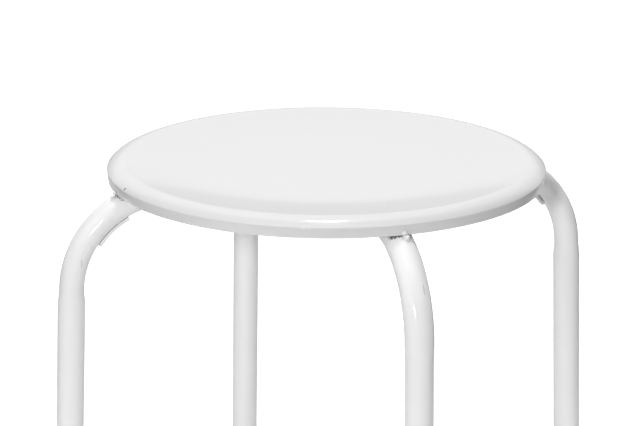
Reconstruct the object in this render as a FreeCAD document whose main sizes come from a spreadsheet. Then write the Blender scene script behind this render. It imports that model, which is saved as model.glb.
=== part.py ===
"""Metal stool: a dished round seat pan on two crossed tube frames, with two stacking pads and four feet.

The origin is on the floor under the middle of the seat, +Z is up, and the legs stand on the X and Y axes.
All lengths are in millimetres and all angles in degrees.
"""
import FreeCAD
import Part
import math
import os
import re
import Sketcher

from FreeCAD import Placement, Rotation, Vector

SIZES = {
    # Seat pan, pressed from one round of sheet steel
    "stool_height": 450.0,
    "seat_diameter": 310.0,
    "sheet_thickness": 1.0,
    "dish_depth": 4.1,
    "dish_radius": 4000.0,
    "dish_reach": 92.0,
    "crest_radius": 15.5,
    "crease_depth": 5.4,
    "crease_fillet": 0.7,
    "skirt_draft": 0.8,
    "skirt_edge_fillet": 0.3,
    # Tube frames, each bent from one length of round tube
    "tube_diameter": 19.3,
    "tube_wall": 1.2,
    "bend_radius": 65.5,
    "bend_tube_height": 17.3,
    "bend_tube_width": 20.3,
    "bend_blend_length": 12.0,
    "leg_overhang": 31.95,
    "leg_splay": 1.8,
    "flat_width": 27.0,
    "flat_length": 34.0,
    "flat_blend_length": 28.0,
    # Clearances between pieces that are welded or pushed together
    "pan_gap": 0.05,
    "crossing_gap": 0.1,
    "rim_gap": 0.55,
    "peg_clearance": 0.15,
    "rib_gap": 0.15,
    "foot_clearance": 0.05,
    # Stacking pads, moulded strips pegged into the inner side of two bends
    "pad_width": 6.8,
    "pad_thickness": 2.2,
    "pad_stand_off": 0.35,
    "pad_sweep": 29.5,
    "pad_middle_angle": 49.6,
    "pad_edge_fillet": 0.5,
    "rib_width": 6.2,
    "rib_sweep": 2.8,
    "peg_angle": 56.5,
    "peg_hole_diameter": 4.2,
    "barb_diameter": 4.8,
    "barb_gap": 0.2,
    "barb_length": 1.6,
    "peg_tip_length": 1.2,
    "peg_tip_diameter": 3.0,
    # Feet, moulded caps pushed over the tube ends
    "foot_height": 18.0,
    "foot_floor": 4.0,
    "foot_wall": 1.9,
    "foot_flare": 0.6,
    "foot_lip_chamfer": 0.6,
    "foot_sole_fillet": 1.5,
    "sole_trim_depth": 2.0,
    # Weld beads
    "weld_bite": 0.9,
    "rim_bead_width": 4.6,
    "rim_bead_length": 4.4,
    "rim_bead_height": 4.0,
    "rim_bead_reach": 1.5,
    "rim_bead_climb": 1.4,
    "rim_bead_depth": 2.8,
    "rim_bead_offset": 1.8,
    "rim_bead_lobe_shift": 1.8,
}

# The legs, by the angle from the X axis at which each stands
LEGS = {"right": 0.0, "back": 90.0, "left": 180.0, "front": 270.0}

# The legs with a stacking pad, both of them on the upper frame
PADDED_LEGS = ("right", "left")

# How far out on the flattened tubes their weld beads lie, and the upper lobe of a rim bead against the lower
CROSSING_BEAD_SHARE = 0.62
UPPER_LOBE_SHARE = 0.85

# How near two places have to be to count as one
SAME_PLACE = 1e-4

doc = FreeCAD.newDocument("metal_stool")
sheet = doc.addObject("Spreadsheet::Sheet", "Sizes")
for row, (alias, size) in enumerate(SIZES.items(), start=1):
    sheet.set("A%d" % row, alias.replace("_", " "))
    sheet.set("B%d" % row, str(size))
    sheet.setAlias("B%d" % row, alias)
doc.recompute()


def formula(text):
    """Write the sheet's name before every size named in an expression."""
    return re.sub("[a-z_]+", lambda word: "Sizes." * (word.group() in SIZES) + word.group(), text)


def amount(text):
    """Work out an expression with the sizes as they are now."""
    found = sheet.evalExpression(formula(text))
    return float(getattr(found, "Value", found))


def bind(owner, name, text):
    """Tie one property of an object to the sheet."""
    owner.setExpression(name, formula(text))


# Places that several pieces share, written as expressions in the sheet's sizes
TUBE_RADIUS = "(tube_diameter / 2)"
SEAT_RADIUS = "(seat_diameter / 2)"
FLAT_HEIGHT = f"({TUBE_RADIUS} - crossing_gap / 2)"
RUN_HEIGHT = f"(stool_height - dish_depth - sheet_thickness - pan_gap - {TUBE_RADIUS})"
BEND_X = f"({SEAT_RADIUS} + leg_overhang - bend_radius)"
BEND_Z = f"({RUN_HEIGHT} - bend_radius)"
BEND_OUTSIDE = "(bend_radius + bend_tube_height / 2)"
BEND_INSIDE = "(bend_radius - bend_tube_height / 2)"
SKIRT_OUTSIDE = f"({SEAT_RADIUS} - skirt_draft)"
SKIRT_INSIDE = f"({SKIRT_OUTSIDE} - sheet_thickness)"
SKIRT_BOTTOM = f"({BEND_Z} + sqrt({BEND_OUTSIDE} ^ 2 - ({SKIRT_INSIDE} - {BEND_X}) ^ 2) + rim_gap)"
LEG_TOP_X = f"({BEND_X} + bend_radius * cos(leg_splay))"
LEG_TOP_Z = f"({BEND_Z} + bend_radius * sin(leg_splay))"
FOOT_X = f"({LEG_TOP_X} + {LEG_TOP_Z} * tan(leg_splay))"


def origin_plane(body, role):
    """Find one of a body's own origin planes."""
    return next(item for item in body.Origin.OriginFeatures if item.Role == role)


def new_body(name, turn=0.0):
    """Start a piece, turned about the stool's own axis."""
    body = doc.addObject("PartDesign::Body", name)
    body.Label = name
    body.Placement = Placement(Vector(), Rotation(Vector(0, 0, 1), turn))
    return body


def new_sketch(body, name, role, across="0", up="0", out="0", axis=None, turn="0"):
    """Start a sketch on an origin plane, moved and turned from it by expressions."""
    sketch = body.newObject("Sketcher::SketchObject", name)
    sketch.AttachmentSupport = [(origin_plane(body, role), "")]
    sketch.MapMode = "FlatFace"
    if axis is not None:
        sketch.AttachmentOffset = Placement(Vector(), Rotation(axis, amount(turn)))
        bind(sketch, "AttachmentOffset.Rotation.Angle", turn)
    for letter, text in (("x", across), ("y", up), ("z", out)):
        if text != "0":
            bind(sketch, "AttachmentOffset.Base." + letter, text)
    return sketch


def place_point(sketch, geometry, point, across, up):
    """Hold one point of a sketch at two coordinates given as expressions."""
    for kind, axis, text in (("DistanceX", -2, across), ("DistanceY", -1, up)):
        if text == "0":
            sketch.addConstraint(Sketcher.Constraint("PointOnObject", geometry, point, axis))
            continue
        index = sketch.addConstraint(Sketcher.Constraint(kind, -1, 1, geometry, point, amount(text)))
        bind(sketch, "Constraints[%d]" % index, text)


def set_measure(sketch, text, kind, *places):
    """Add a measured constraint whose value follows an expression."""
    index = sketch.addConstraint(Sketcher.Constraint(kind, *places, amount(text)))
    bind(sketch, "Constraints[%d]" % index, text)


def draw_outline(sketch, corners):
    """Draw a closed outline of straight lines through corners given as expressions."""
    points = [Vector(amount(across), amount(up), 0) for across, up in corners]
    first = sketch.GeometryCount
    count = len(points)
    for index in range(count):
        sketch.addGeometry(Part.LineSegment(points[index], points[(index + 1) % count]), False)
    for index in range(count):
        following = first + (index + 1) % count
        sketch.addConstraint(Sketcher.Constraint("Coincident", first + index, 2, following, 1))
    for index, (across, up) in enumerate(corners):
        place_point(sketch, first + index, 1, across, up)


def draw_circle(sketch, radius):
    """Draw a circle about the sketch's origin."""
    index = sketch.addGeometry(Part.Circle(Vector(), Vector(0, 0, 1), amount(radius)), False)
    sketch.addConstraint(Sketcher.Constraint("Coincident", index, 3, -1, 1))
    set_measure(sketch, radius, "Radius", index)


def draw_ellipse(sketch, width, height):
    """Draw an ellipse about the sketch's origin, wider than it is high."""
    across = Vector(amount(width) / 2, 0, 0)
    upward = Vector(0, amount(height) / 2, 0)
    index = sketch.addGeometry(Part.Ellipse(across, upward, Vector()), False)
    sketch.exposeInternalGeometry(index)
    sketch.addConstraint(Sketcher.Constraint("Coincident", index, 3, -1, 1))
    sketch.addConstraint(Sketcher.Constraint("Horizontal", index + 1))
    set_measure(sketch, width, "Distance", index + 1)
    set_measure(sketch, height, "Distance", index + 2)


def circle_edges(body_feature, radius, height):
    """Name the round edges of a turned feature that lie at one radius and height about the Z axis."""
    names = []
    for number, edge in enumerate(body_feature.Shape.Edges, start=1):
        ends = [vertex.Point for vertex in edge.Vertexes]
        if edge.Degenerated or edge.Curve.TypeId != "Part::GeomCircle":
            continue
        misses = [max(abs(math.hypot(end.x, end.y) - radius), abs(end.z - height)) for end in ends]
        if max(misses) < SAME_PLACE:
            names.append("Edge%d" % number)
    return names


def draw_pan_arcs(sketch):
    """Draw the section of the pan, each arc with the one that lies a sheet's thickness under it."""
    wall = amount("sheet_thickness")
    dish_arc = amount("dish_radius")
    crest_arc = amount("crest_radius")
    crease = Vector(amount(SEAT_RADIUS), amount("stool_height - crease_depth"), 0)
    skirt_end = Vector(amount(SKIRT_OUTSIDE), amount(SKIRT_BOTTOM), 0)
    inner_skirt_end = Vector(amount(SKIRT_INSIDE), amount(SKIRT_BOTTOM), 0)

    dish_middle = Vector(0, amount("stool_height - dish_depth + dish_radius"), 0)
    dish_angle = math.asin(amount("dish_reach") / dish_arc)
    toward_middle = Vector(-math.sin(dish_angle), math.cos(dish_angle), 0)
    dish_end = dish_middle - toward_middle * dish_arc

    crease_rise = amount("crest_radius - crease_depth")
    crest_span = math.sqrt(crest_arc ** 2 - crease_rise ** 2)
    crest_middle = crease - Vector(crest_span, crease_rise, 0)
    between = dish_end - crest_middle
    slope_arc = (between.dot(between) - crest_arc ** 2) / (2 * (crest_arc - toward_middle.dot(between)))
    slope_middle = dish_end + toward_middle * slope_arc

    toward_slope = slope_middle - crest_middle
    crest_start = math.atan2(toward_slope.y, toward_slope.x)
    slope_end = crest_start - math.pi
    slope_start = dish_angle - math.pi / 2
    crest_end = math.atan2(crease_rise, crest_span)
    inner_crease = crest_middle + (crease - crest_middle) * (1 - wall / crest_arc)

    def arc(middle, radius, start, end):
        circle = Part.Circle(middle, Vector(0, 0, 1), radius)
        return sketch.addGeometry(Part.ArcOfCircle(circle, start, end), False)

    def line(start, end):
        return sketch.addGeometry(Part.LineSegment(start, end), False)

    return (
        arc(dish_middle, dish_arc, -math.pi / 2, slope_start),
        arc(slope_middle, slope_arc, slope_start, slope_end),
        arc(crest_middle, crest_arc, crest_end, crest_start),
        line(crease, skirt_end),
        line(skirt_end, inner_skirt_end),
        line(inner_skirt_end, inner_crease),
        arc(crest_middle, crest_arc - wall, crest_end, crest_start),
        arc(slope_middle, slope_arc + wall, slope_start, slope_end),
        arc(dish_middle, dish_arc + wall, -math.pi / 2, slope_start),
        line(dish_middle - Vector(0, dish_arc + wall, 0), dish_middle - Vector(0, dish_arc, 0)),
    )


def draw_pan_profile(sketch):
    """Tie the pan's section together: smooth from dish to crest, an even wall, a level lower edge."""
    dish, slope, crest, skirt, edge, *inner = draw_pan_arcs(sketch)
    inner_skirt, under_crest, under_slope, under_dish, middle = inner
    for kind, *places in (
        ("Tangent", dish, 2, slope, 1),
        ("Tangent", slope, 2, crest, 2),
        ("Coincident", crest, 1, skirt, 1),
        ("Coincident", skirt, 2, edge, 1),
        ("Coincident", edge, 2, inner_skirt, 1),
        ("Coincident", inner_skirt, 2, under_crest, 1),
        ("Tangent", under_crest, 2, under_slope, 2),
        ("Tangent", under_slope, 1, under_dish, 2),
        ("Coincident", under_dish, 1, middle, 1),
        ("Coincident", middle, 2, dish, 1),
        ("Coincident", under_dish, 3, dish, 3),
        ("Coincident", under_slope, 3, slope, 3),
        ("Coincident", under_crest, 3, crest, 3),
        ("PointOnObject", dish, 3, -2),
        ("PointOnObject", dish, 1, -2),
        ("PointOnObject", under_dish, 1, -2),
        ("Horizontal", edge),
    ):
        sketch.addConstraint(Sketcher.Constraint(kind, *places))
    set_measure(sketch, "dish_radius", "Radius", dish)
    set_measure(sketch, "dish_radius + sheet_thickness", "Radius", under_dish)
    set_measure(sketch, "stool_height - dish_depth", "DistanceY", -1, 1, dish, 1)
    set_measure(sketch, "dish_reach", "DistanceX", -1, 1, dish, 2)
    set_measure(sketch, "crest_radius", "Radius", crest)
    set_measure(sketch, "stool_height - crest_radius", "DistanceY", -1, 1, crest, 3)
    place_point(sketch, skirt, 1, SEAT_RADIUS, "stool_height - crease_depth")
    place_point(sketch, skirt, 2, SKIRT_OUTSIDE, SKIRT_BOTTOM)
    set_measure(sketch, SKIRT_INSIDE, "DistanceX", -1, 1, edge, 2)
    sketch.addConstraint(Sketcher.Constraint("Parallel", skirt, inner_skirt))


def make_seat_pan():
    """The seat: a shallow dish, a round crest, a crease and a short skirt, pressed from one sheet."""
    body = new_body("seat_pan")
    profile = new_sketch(body, "pan_profile", "XZ_Plane")
    draw_pan_profile(profile)
    pan = body.newObject("PartDesign::Revolution", "pan_turned")
    pan.Profile = profile
    pan.ReferenceAxis = (profile, ["V_Axis"])
    pan.Angle = 360
    doc.recompute()
    crease = circle_edges(pan, amount(SEAT_RADIUS), amount("stool_height - crease_depth"))
    crease_round = body.newObject("PartDesign::Fillet", "crease_round")
    crease_round.Base = (pan, crease)
    bind(crease_round, "Radius", "crease_fillet")
    doc.recompute()
    lower_edge = circle_edges(crease_round, amount(SKIRT_OUTSIDE), amount(SKIRT_BOTTOM))
    skirt_round = body.newObject("PartDesign::Fillet", "skirt_edge_round")
    skirt_round.Base = (crease_round, lower_edge)
    bind(skirt_round, "Radius", "skirt_edge_fillet")
    return body


def add_section(body, name, across, up, size, turn="0"):
    """One cross-section of the tube: its outside and its bore, round or oval, square to the tube's run."""
    axis = None if turn == "0" else Vector(1, 0, 0)
    sketch = new_sketch(body, name, "YZ_Plane", up=up, out=across, axis=axis, turn=turn)
    if size == "round":
        draw_circle(sketch, TUBE_RADIUS)
        draw_circle(sketch, f"{TUBE_RADIUS} - tube_wall")
        return sketch
    width, height = size
    draw_ellipse(sketch, width, height)
    draw_ellipse(sketch, f"{width} - 2 * tube_wall", f"{height} - 2 * tube_wall")
    return sketch


def frame_stations(side):
    """The places along half a frame where its section is set: label, X, Z, section and turn from the run."""
    flat_level = f"{RUN_HEIGHT} + {side} * ({TUBE_RADIUS} - {FLAT_HEIGHT} / 2)"
    flat = ("flat_width", FLAT_HEIGHT)
    oval = ("bend_tube_width", "bend_tube_height")
    flat_end = "flat_length / 2"
    down_leg = "90 - leg_splay"
    leg_length = f"({LEG_TOP_Z} - foot_floor) / cos(leg_splay)"
    return (
        ("crossing", "0", flat_level, flat, "0"),
        ("flat_end", flat_end, flat_level, flat, "0"),
        ("run_start", f"{flat_end} + flat_blend_length", RUN_HEIGHT, "round", "0"),
        ("run_end", f"{BEND_X} - bend_blend_length", RUN_HEIGHT, "round", "0"),
        ("bend_start", BEND_X, RUN_HEIGHT, oval, "0"),
        ("bend_end", LEG_TOP_X, LEG_TOP_Z, oval, down_leg),
        ("leg_start", f"{LEG_TOP_X} + bend_blend_length * sin(leg_splay)",
         f"{LEG_TOP_Z} - bend_blend_length * cos(leg_splay)", "round", down_leg),
        ("leg_end", f"{LEG_TOP_X} + {leg_length} * sin(leg_splay)", "foot_floor", "round", down_leg),
    )


def draw_bend_path(body, name):
    """The middle line of one bend, from the end of the level run to the top of the splayed leg."""
    path = new_sketch(body, name, "XZ_Plane")
    middle = Vector(amount(BEND_X), amount(BEND_Z), 0)
    circle = Part.Circle(middle, Vector(0, 0, 1), amount("bend_radius"))
    leg_angle = math.radians(amount("leg_splay"))
    bend = path.addGeometry(Part.ArcOfCircle(circle, leg_angle, math.pi / 2), False)
    place_point(path, bend, 3, BEND_X, BEND_Z)
    set_measure(path, "bend_radius", "Radius", bend)
    path.addConstraint(Sketcher.Constraint("Vertical", bend, 3, bend, 2))
    set_measure(path, "bend_radius * sin(leg_splay)", "DistanceY", bend, 3, bend, 1)
    return path


def drill_peg_hole(body, name):
    """The hole for a pad's peg, through the inner wall of the bend."""
    drawing = new_sketch(body, f"{name}_peg_hole", "YZ_Plane", up=BEND_Z, out=BEND_X,
                         axis=Vector(1, 0, 0), turn="-peg_angle")
    draw_circle(drawing, "peg_hole_diameter / 2")
    hole = body.newObject("PartDesign::Pocket", f"{name}_peg_hole_cut")
    hole.Profile = drawing
    hole.Reversed = True
    bind(hole, "Length", "bend_radius")


def make_frame(name, turn, side, padded):
    """A U of tube: squeezed flat at the crossing, a little oval in its bends and round in its legs.

    The side is 1 where the flat stays at the top of the tube, against the seat, and -1 where it lies below.
    A padded frame has a hole in each bend for the peg of a stacking pad.
    """
    body = new_body(name, turn)
    stations = frame_stations(side)
    sections = [add_section(body, f"{name}_{label}", across, up, size, angle)
                for label, across, up, size, angle in stations]
    path = draw_bend_path(body, f"{name}_bend_path")
    doc.recompute()
    for index in range(len(sections) - 1):
        label = stations[index][0]
        if label == "bend_start":
            stretch = body.newObject("PartDesign::AdditivePipe", f"{name}_bend")
            stretch.Spine = (path, ["Edge1"])
        else:
            stretch = body.newObject("PartDesign::AdditiveLoft", f"{name}_from_{label}")
            stretch.Sections = [sections[index + 1]]
            stretch.Ruled = True
        stretch.Profile = sections[index]
        doc.recompute()
    if padded:
        drill_peg_hole(body, name)
        doc.recompute()
    both_legs = body.newObject("PartDesign::Mirrored", f"{name}_both_legs")
    both_legs.MirrorPlane = (origin_plane(body, "YZ_Plane"), [""])
    both_legs.TransformMode = "Whole shape"
    body.Tip = both_legs
    return body


def turn_section(body, name, turn, sweep, corners):
    """Turn an outline about the middle line of a bend, from one angle past the level run through a sweep."""
    section = new_sketch(body, f"{name}_section", "YZ_Plane", up=BEND_Z, out=BEND_X,
                         axis=Vector(1, 0, 0), turn=turn)
    draw_outline(section, corners)
    swept = body.newObject("PartDesign::Revolution", name)
    swept.Profile = section
    swept.ReferenceAxis = (section, ["H_Axis"])
    bind(swept, "Angle", sweep)
    doc.recompute()
    return swept


def make_pad(name, turn):
    """A moulded strip under the inner side of a bend, held by a peg that snaps into the tube.

    Round the peg a cross rib, hollowed like a shallow V, fills the gap between the strip and the tube.
    """
    body = new_body(name, turn)
    pad_outside = f"({BEND_INSIDE} - pad_stand_off)"
    pad_inside = f"({pad_outside} - pad_thickness)"
    pad_middle = f"({pad_outside} - pad_thickness / 2)"
    half_width = "pad_width / 2"
    strip = turn_section(body, f"{name}_strip", "90 - pad_middle_angle - pad_sweep / 2", "pad_sweep", [
        (f"-{half_width}", pad_inside),
        (half_width, pad_inside),
        (half_width, pad_outside),
        (f"-{half_width}", pad_outside),
    ])
    rounded = body.newObject("PartDesign::Fillet", f"{name}_rounded_edges")
    rounded.Base = (strip, ["Edge%d" % number for number in range(1, len(strip.Shape.Edges) + 1)])
    bind(rounded, "Radius", "pad_edge_fillet")
    doc.recompute()

    rib_side = "rib_width / 2"
    tube_drop = "bend_tube_height / 2 * sqrt(1 - (rib_width / bend_tube_width) ^ 2)"
    rib_edge = f"(bend_radius - {tube_drop} - rib_gap)"
    turn_section(body, f"{name}_rib", "90 - peg_angle - rib_sweep / 2", "rib_sweep", [
        (f"-{rib_side}", pad_middle),
        (rib_side, pad_middle),
        (rib_side, rib_edge),
        ("0", f"{BEND_INSIDE} - rib_gap"),
        (f"-{rib_side}", rib_edge),
    ])

    barb_start = f"({BEND_INSIDE} + tube_wall + barb_gap)"
    barb_end = f"({barb_start} + barb_length)"
    peg_radius = "peg_hole_diameter / 2 - peg_clearance"
    peg_profile = new_sketch(body, f"{name}_peg_profile", "XZ_Plane", across=BEND_X, up=BEND_Z,
                             axis=Vector(0, 0, 1), turn="peg_angle")
    draw_outline(peg_profile, [
        (pad_middle, "0"),
        (pad_middle, peg_radius),
        (barb_start, peg_radius),
        (barb_start, "barb_diameter / 2"),
        (barb_end, "barb_diameter / 2"),
        (f"{barb_end} + peg_tip_length", "peg_tip_diameter / 2"),
        (f"{barb_end} + peg_tip_length", "0"),
    ])
    peg = body.newObject("PartDesign::Revolution", f"{name}_peg")
    peg.Profile = peg_profile
    peg.ReferenceAxis = (peg_profile, ["H_Axis"])
    peg.Angle = 360
    return body


def make_foot(name, turn):
    """A moulded cap pushed over the end of a leg, its sole trimmed level with the floor."""
    body = new_body(name, turn)
    bore = f"({TUBE_RADIUS} + foot_clearance)"
    outside = f"({bore} + foot_wall)"
    sole = f"({outside} + foot_flare)"
    floor_top = "foot_floor / cos(leg_splay)"
    profile = new_sketch(body, f"{name}_profile", "XZ_Plane", across=FOOT_X,
                         axis=Vector(0, 0, 1), turn="leg_splay")
    draw_outline(profile, [
        ("0", "-sole_trim_depth"),
        (sole, "-sole_trim_depth"),
        (sole, "foot_floor"),
        (outside, "foot_height"),
        (f"{bore} + foot_lip_chamfer", "foot_height"),
        (bore, "foot_height - foot_lip_chamfer"),
        (bore, floor_top),
        ("0", floor_top),
    ])
    cap = body.newObject("PartDesign::Revolution", f"{name}_cap")
    cap.Profile = profile
    cap.ReferenceAxis = (profile, ["V_Axis"])
    cap.Angle = 360
    trim_sketch = new_sketch(body, f"{name}_floor_line", "XY_Plane", across=FOOT_X)
    draw_circle(trim_sketch, f"{sole} + sole_trim_depth")
    trim = body.newObject("PartDesign::Pocket", f"{name}_level_sole")
    trim.Profile = trim_sketch
    bind(trim, "Length", "2 * sole_trim_depth")
    doc.recompute()
    sole_edges = ["Edge%d" % number for number, edge in enumerate(trim.Shape.Edges, start=1)
                  if edge.BoundBox.ZMax < amount("sole_trim_depth") / 2]
    rounded = body.newObject("PartDesign::Fillet", f"{name}_rounded_sole")
    rounded.Base = (trim, sole_edges)
    bind(rounded, "Radius", "foot_sole_fillet")
    return body


def add_bead(name, width, length, height, place, turn="0"):
    """One egg-shaped lobe of weld metal, laid over by an angle about its own Y axis."""
    bead = doc.addObject("Part::Ellipsoid", name)
    bead.Angle1 = -90
    bind(bead, "Radius1", f"({height}) / 2")
    bind(bead, "Radius2", f"({length}) / 2")
    bind(bead, "Radius3", f"({width}) / 2")
    if turn != "0":
        bead.Placement = Placement(Vector(), Rotation(Vector(0, 1, 0), amount(turn)))
        bind(bead, "Placement.Rotation.Angle", turn)
    for letter, text in zip("xyz", place):
        bind(bead, "Placement.Base." + letter, text)
    return bead


def cut_away(name, base, tools):
    """Cut one solid after another out of a first one."""
    for number, tool in enumerate(tools, start=1):
        cut = doc.addObject("Part::Cut", name if number == len(tools) else f"{name}_less_{number}")
        cut.Base = base
        cut.Tool = tool
        base = cut
    return base


def make_rim_weld(name, turn, pan, frame):
    """A tack weld in two lobes, one up the outside of the skirt and one out along the top of the tube."""
    under_rim = f"asin(({SEAT_RADIUS} - {BEND_X}) / {BEND_OUTSIDE})"
    slope = f"({under_rim} + atan(rim_bead_reach / {BEND_OUTSIDE}))"
    from_bend = f"({BEND_OUTSIDE} + rim_bead_height / 2 - weld_bite)"
    on_tube = (f"{BEND_X} + {from_bend} * sin({slope})", "rim_bead_offset + rim_bead_lobe_shift / 2",
               f"{BEND_Z} + {from_bend} * cos({slope})")
    on_skirt = (f"{SEAT_RADIUS} + rim_bead_depth / 2 - weld_bite",
                "rim_bead_offset - rim_bead_lobe_shift / 2", f"{SKIRT_BOTTOM} + rim_bead_climb")
    lobes = doc.addObject("Part::Fuse", f"{name}_lobes")
    lobes.Base = add_bead(f"{name}_lower_lobe", "rim_bead_width", "rim_bead_length", "rim_bead_height",
                          on_tube, slope)
    lobes.Tool = add_bead(f"{name}_upper_lobe", f"{UPPER_LOBE_SHARE} * rim_bead_width", "rim_bead_depth",
                          "rim_bead_length", on_skirt)
    weld = cut_away(name, lobes, (pan, frame))
    weld.Label = name
    weld.Placement = Placement(Vector(), Rotation(Vector(0, 0, 1), turn))
    return weld


def make_crossing_welds(name, frames):
    """Four beads in the corners where the flattened tubes cross."""
    corner = f"{CROSSING_BEAD_SHARE} * flat_width / 2"
    half_opening = f"({TUBE_RADIUS} - {FLAT_HEIGHT} * (1 + sqrt(1 - {CROSSING_BEAD_SHARE} ^ 2)) / 2)"
    diameter = f"2 * ({half_opening} + weld_bite)"
    group = doc.addObject("Part::Compound", f"{name}_beads")
    group.Links = [
        add_bead(f"{name}_bead_{number}", diameter, diameter, diameter,
                 (f"{along} * {corner}", f"{beside} * {corner}", RUN_HEIGHT))
        for number, (along, beside) in enumerate(((1, 1), (-1, 1), (-1, -1), (1, -1)), start=1)
    ]
    welds = cut_away(name, group, frames)
    welds.Label = name
    return welds


seat_pan = make_seat_pan()
upper_frame = make_frame("upper_frame", 0.0, 1, True)
lower_frame = make_frame("lower_frame", 90.0, -1, False)
pieces = [seat_pan, upper_frame, lower_frame]
doc.recompute()
pieces.append(make_crossing_welds("crossing_welds", (upper_frame, lower_frame)))
for place, turn in LEGS.items():
    pieces.append(make_rim_weld("rim_weld_" + place, turn, seat_pan, upper_frame))
    pieces.append(make_foot("foot_" + place, turn))
pieces += [make_pad("stacking_pad_" + place, LEGS[place]) for place in PADDED_LEGS]
doc.recompute()

faults = [item.Name for item in doc.Objects if "Invalid" in item.State or "Error" in item.State]
faults += [piece.Label for piece in pieces if piece.Shape.isNull() or not piece.Shape.isValid()]
if faults:
    raise RuntimeError("these did not build: " + ", ".join(faults))

os.makedirs("parts", exist_ok=True)
for piece in pieces:
    piece.Shape.exportStep("parts/" + piece.Label + ".step")
    print(piece.Label, len(piece.Shape.Solids), "solid(s),", round(piece.Shape.Volume, 1), "cubic mm")
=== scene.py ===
"""A white metal stool: a dished round seat on two crossed tube frames, with stacking pads and push-on feet.

Lengths are in metres, in the frame of the solids: the floor is at z = 0, +Z is up and the legs stand on the
X and Y axes. The stool's sizes below are the ones that the solids were made from.
"""
import math

import bmesh
import bpy
from mathutils import Matrix, Vector


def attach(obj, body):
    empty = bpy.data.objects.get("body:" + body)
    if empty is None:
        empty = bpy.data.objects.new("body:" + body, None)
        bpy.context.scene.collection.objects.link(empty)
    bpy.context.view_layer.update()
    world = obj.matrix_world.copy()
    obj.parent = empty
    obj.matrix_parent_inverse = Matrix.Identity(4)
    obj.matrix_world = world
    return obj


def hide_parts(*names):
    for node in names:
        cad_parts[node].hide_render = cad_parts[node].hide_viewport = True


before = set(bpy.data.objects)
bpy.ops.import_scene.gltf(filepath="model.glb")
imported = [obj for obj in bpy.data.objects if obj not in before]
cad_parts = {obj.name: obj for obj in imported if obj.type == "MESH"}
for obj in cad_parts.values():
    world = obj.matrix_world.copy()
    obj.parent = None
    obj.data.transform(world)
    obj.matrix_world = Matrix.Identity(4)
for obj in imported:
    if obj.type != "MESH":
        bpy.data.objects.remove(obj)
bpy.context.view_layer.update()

MM = 0.001
MERGE_DISTANCE = 0.002 * MM

# Seat pan
STOOL_HEIGHT = 450 * MM
SEAT_RADIUS = 155 * MM
SHEET = 1.0 * MM
DISH_DEPTH = 4.1 * MM
DISH_RADIUS = 4000 * MM
DISH_REACH = 92 * MM
CREST_RADIUS = 15.5 * MM
CREASE_DEPTH = 5.4 * MM
CREASE_ROUND = 0.7 * MM
SKIRT_DRAFT = 0.8 * MM
SKIRT_ROUND = 0.3 * MM
DISH_STEPS = 16
SLOPE_STEPS = 30
CREST_STEPS = 44

# Tube frames
TUBE_RADIUS = 9.65 * MM
BEND_RADIUS = 65.5 * MM
BEND_HALF_HEIGHT = 8.65 * MM
BEND_HALF_WIDTH = 10.15 * MM
BEND_BLEND = 12 * MM
LEG_OVERHANG = 31.95 * MM
LEG_SPLAY = math.radians(1.8)
FLAT_HALF_WIDTH = 13.5 * MM
FLAT_HALF_LENGTH = 17 * MM
FLAT_BLEND = 28 * MM
RING_STEP = 3 * MM

# Feet
FOOT_HEIGHT = 18 * MM
FOOT_FLOOR = 4 * MM
FOOT_WALL = 1.9 * MM
FOOT_FLARE = 0.6 * MM
FOOT_SOLE_ROUND = 1.5 * MM
FOOT_LIP_ROUND = 0.4 * MM
FOOT_MOUTH = 0.6 * MM

# Stacking pads, by their distance from the middle of the bend and their angle above its level
PAD_WIDTH = 6.8 * MM
PAD_THICKNESS = 2.2 * MM
PAD_TOP = BEND_RADIUS - BEND_HALF_HEIGHT - 0.35 * MM
PAD_ANGLE = math.radians(49.6)
PAD_SWEEP = math.radians(29.5)
PAD_ROUND = 0.5 * MM
RIB_ROUND = 0.15 * MM
RIB_WIDTH = 6.2 * MM
RIB_TOP = BEND_RADIUS - BEND_HALF_HEIGHT - 0.15 * MM
RIB_SWEEP = math.radians(2.8)
PEG_ANGLE = math.radians(56.5)
PEG_RADIUS = 1.95 * MM
BARB_RADIUS = 2.4 * MM
BARB_START = BEND_RADIUS - BEND_HALF_HEIGHT + 1.4 * MM
BARB_END = BARB_START + 1.6 * MM
PEG_TIP = BARB_END + 1.2 * MM
PEG_TIP_RADIUS = 1.5 * MM
SLICES_ALONG = 28
SLICES_ACROSS = 8

# Rim beads: how far their lobes lie from the bend's outside and the skirt's lower edge, and how far they
# reach, as shares of the bead's size
TUBE_LOBE_OUT = 1.1 * MM
TUBE_LOBE_AHEAD = 1.5 * MM
TUBE_LOBE_LENGTH = 2.2
TUBE_LOBE_HEIGHT = 2.0
SKIRT_LOBE_OUT = 0.5 * MM
SKIRT_LOBE_UP = 1.4 * MM
SKIRT_LOBE_DEPTH = 1.4
SKIRT_LOBE_HEIGHT = 2.2
JOINT_LOBE_OUT = 1.0 * MM
JOINT_LOBE_DOWN = 0.3 * MM
JOINT_LOBE_REACH = (1.6, 1.8, 1.6)
RIM_RIPPLE = 0.5 * MM
RIM_RIPPLE_SIZE = 1.6 * MM
# For each leg, how far the lobe on the tube lies to the side and reaches there, and the same for the lobe on
# the skirt, both in mm, and then the bead's size
RIM_LOBES = {"right": ((2.5, 2.2), (1.1, 2.0), 0.95 * MM), "back": ((2.3, 2.3), (1.2, 2.1), MM),
             "left": ((2.2, 1.7), (1.3, 1.2), 0.78 * MM), "front": ((1.9, 2.2), (0.6, 2.4), MM)}

# Crossing beads, and the grain that all the beads are built from
CROSSING_PLACE_SHARE = 0.62
CROSSING_PROUD = 0.9 * MM
CROSSING_RIPPLE = 0.4 * MM
CROSSING_RIPPLE_SIZE = 1.4 * MM
WELD_GRAIN = 0.22 * MM

# Gaps between pieces
PAN_GAP = 0.05 * MM
CROSSING_GAP = 0.1 * MM
RIM_GAP = 0.55 * MM
FOOT_GAP = 0.05 * MM

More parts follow.
